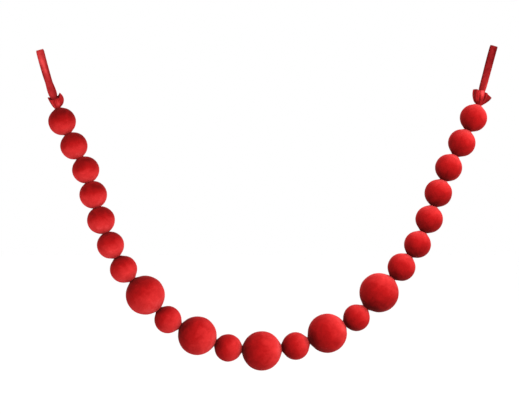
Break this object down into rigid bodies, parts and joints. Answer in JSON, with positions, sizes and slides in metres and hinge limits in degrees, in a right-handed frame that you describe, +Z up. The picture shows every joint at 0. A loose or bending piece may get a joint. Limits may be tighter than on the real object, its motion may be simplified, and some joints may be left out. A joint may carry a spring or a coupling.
{
  "type": "velvet ball garland",
  "caption": "Swag garland of velvet-covered balls in two sizes that touch in a row, with a ruffled velvet gather and a ribbon hanging loop at each end.",
  "frame": {"origin": "inside top of the left ribbon loop, where a hook bears on it", "axes": "+X from the left end towards the right end as seen from the front, +Z up as it hangs, and the front faces -Y"},
  "size_m": [0.8584, 0.0734, 0.6065],
  "materials": {
    "ball_velvet": "short-pile velvet, matt with a soft sheen",
    "ribbon_velvet": "velvet ribbon, matt with a soft sheen"
  },
  "bodies": {
    "root": {"ball_01": "ball_velvet", "ball_02": "ball_velvet", "ball_03": "ball_velvet", "ball_04": "ball_velvet", "ball_05": "ball_velvet", "ball_06": "ball_velvet", "ball_07": "ball_velvet", "ball_08": "ball_velvet", "ball_09": "ball_velvet", "ball_10": "ball_velvet", "ball_11": "ball_velvet", "ball_12": "ball_velvet", "ball_13": "ball_velvet", "ball_14": "ball_velvet", "ball_15": "ball_velvet", "ball_16": "ball_velvet", "ball_17": "ball_velvet", "ball_18": "ball_velvet", "ball_19": "ball_velvet", "ball_20": "ball_velvet", "ball_21": "ball_velvet", "ball_22": "ball_velvet", "ball_23": "ball_velvet", "gather_left": "ball_velvet", "gather_right": "ball_velvet", "loop_left": "ribbon_velvet", "loop_right": "ribbon_velvet"}
  },
  "joints": []
}
